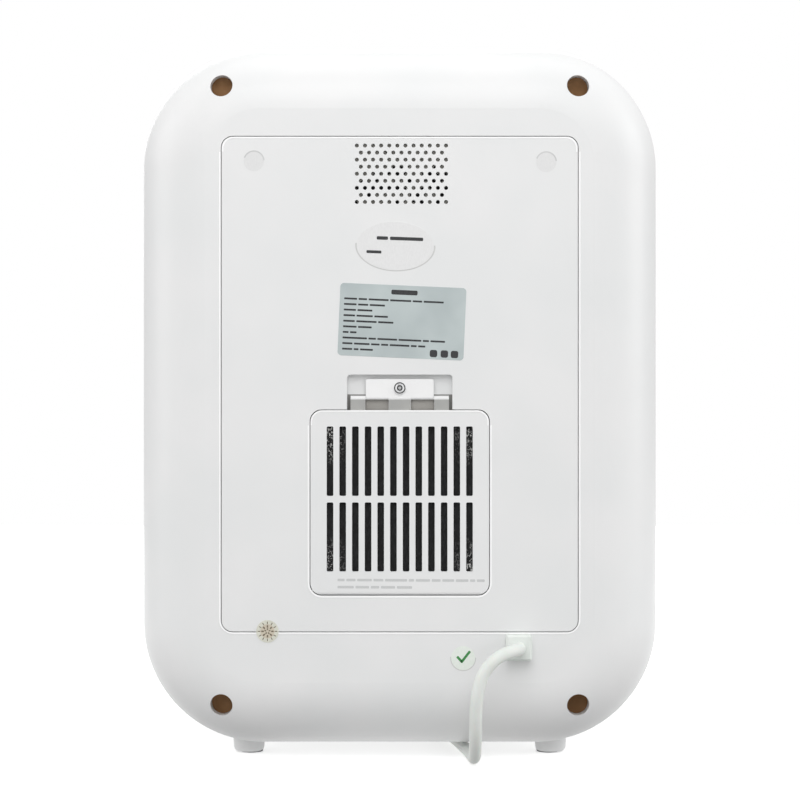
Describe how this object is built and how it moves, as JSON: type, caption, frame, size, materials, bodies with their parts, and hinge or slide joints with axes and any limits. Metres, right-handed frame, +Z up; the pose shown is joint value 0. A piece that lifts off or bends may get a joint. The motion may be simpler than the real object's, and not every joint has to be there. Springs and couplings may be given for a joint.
{
  "type": "baby bottle sterilizer",
  "caption": "Countertop cabinet sterilizer with a hinged glass front door, steel chamber with racks, fan, heater, ultraviolet module and a filtered air inlet in the back.",
  "frame": {"origin": "on the floor under the middle of the appliance, without its free cord", "axes": "+Z up, the door faces -Y and the pictured back faces +Y"},
  "size_m": [0.31, 0.4627, 0.428],
  "materials": {
    "cabinet_white": "moulded ABS, fine satin",
    "well_plug_brown": "matte rubbery plug",
    "foot_rubber": "matte",
    "screw_steel": "zinc plated",
    "black_plastic": "moulded, matte",
    "carbon_filter": "pleated carbon fleece",
    "motor_copper": "enamelled winding",
    "grey_plastic": "heat resistant, matte",
    "heater_aluminium": "plain",
    "chamber_steel": "brushed stainless",
    "quartz_glass": "clear",
    "circuit_board": "solder mask",
    "tray_plastic": "moulded, satin",
    "smoked_glass": "dark tint",
    "control_black": "polished",
    "silicone_seal": "soft silicone",
    "handle_metal": "satin",
    "cord_white": "soft PVC",
    "pin_brass": "plated blade"
  },
  "bodies": {
    "casing": {"air_duct": "grey_plastic", "base_front": "cabinet_white", "base_plate": "cabinet_white", "board_parts": "black_plastic", "chamber": "chamber_steel", "control_board": "circuit_board", "control_glass": "control_black", "cord_coil": "cord_white", "cord_lead": "cord_white", "cord_tail": "cord_white", "display_module": "black_plastic", "exhaust_duct": "grey_plastic", "exhaust_louvre": "black_plastic", "fan_frame": "black_plastic", "fan_motor": "motor_copper", "fan_screws": "screw_steel", "foot_pads": "foot_rubber", "front_frame": "cabinet_white", "hinge_brackets": "chamber_steel", "main_housing": "cabinet_white", "plug_body": "cord_white", "plug_pins": "pin_brass", "power_board": "circuit_board", "ptc_heater": "heater_aluminium", "quartz_window": "quartz_glass", "rack_rails": "chamber_steel", "rear_cover": "cabinet_white", "rear_shell": "cabinet_white", "reed_switch": "black_plastic", "screw_caps": "cabinet_white", "shell_screws": "screw_steel", "small_screws": "screw_steel", "strain_relief": "cord_white", "strike_plates": "screw_steel", "tact_switches": "black_plastic", "thermostat": "heater_aluminium", "transformer": "chamber_steel", "uv_housing": "grey_plastic", "uv_led_board": "circuit_board", "well_plugs": "well_plug_brown"},
    "door": {"door_outer": "cabinet_white", "door_liner": "cabinet_white", "door_window": "smoked_glass", "door_gasket": "silicone_seal", "door_handle": "handle_metal", "handle_screws": "screw_steel", "hinge_pins": "screw_steel", "door_magnets": "screw_steel"},
    "filter_door": {"filter_cover": "cabinet_white", "filter_frame": "black_plastic", "filter_element": "carbon_filter", "filter_screw": "screw_steel"},
    "fan": {"fan_rotor": "black_plastic"},
    "top_rack": {"upper_rack": "chamber_steel"},
    "bottom_rack": {"lower_rack": "chamber_steel"},
    "tray": {"drip_tray": "tray_plastic"},
    "power_key": {"power_button": "control_black"},
    "mode_key": {"mode_button": "control_black"},
    "time_key": {"time_button": "control_black"},
    "dry_key": {"dry_button": "control_black"}
  },
  "joints": [
    {"name": "door_hinge", "type": "hinge", "parent": "casing", "child": "door", "pos_m": [-0.1465, -0.127, 0.23], "axis": [0, 0, -1], "range_deg": [0, 105]},
    {"name": "filter_cover_hinge", "type": "hinge", "parent": "casing", "child": "filter_door", "pos_m": [0, 0.1701, 0.1028], "axis": [-1, 0, 0], "range_deg": [0, 20]},
    {"name": "fan_spin", "type": "hinge", "parent": "casing", "child": "fan", "pos_m": [0, 0.135, 0.1554], "axis": [0, 1, 0], "continuous": true},
    {"name": "upper_rack_slide", "type": "slide", "parent": "casing", "child": "top_rack", "axis": [0, -1, 0], "range_m": [0, 0.016]},
    {"name": "lower_rack_slide", "type": "slide", "parent": "casing", "child": "bottom_rack", "axis": [0, -1, 0], "range_m": [0, 0.016]},
    {"name": "drip_tray_slide", "type": "slide", "parent": "casing", "child": "tray", "axis": [0, -1, 0], "range_m": [0, 0.016]},
    {"name": "power_press", "type": "slide", "parent": "casing", "child": "power_key", "axis": [0, 1, 0], "range_m": [0, 0.001], "stiffness_N_per_m": 500},
    {"name": "mode_press", "type": "slide", "parent": "casing", "child": "mode_key", "axis": [0, 1, 0], "range_m": [0, 0.001], "stiffness_N_per_m": 500},
    {"name": "time_press", "type": "slide", "parent": "casing", "child": "time_key", "axis": [0, 1, 0], "range_m": [0, 0.001], "stiffness_N_per_m": 500},
    {"name": "dry_press", "type": "slide", "parent": "casing", "child": "dry_key", "axis": [0, 1, 0], "range_m": [0, 0.001], "stiffness_N_per_m": 500}
  ]
}
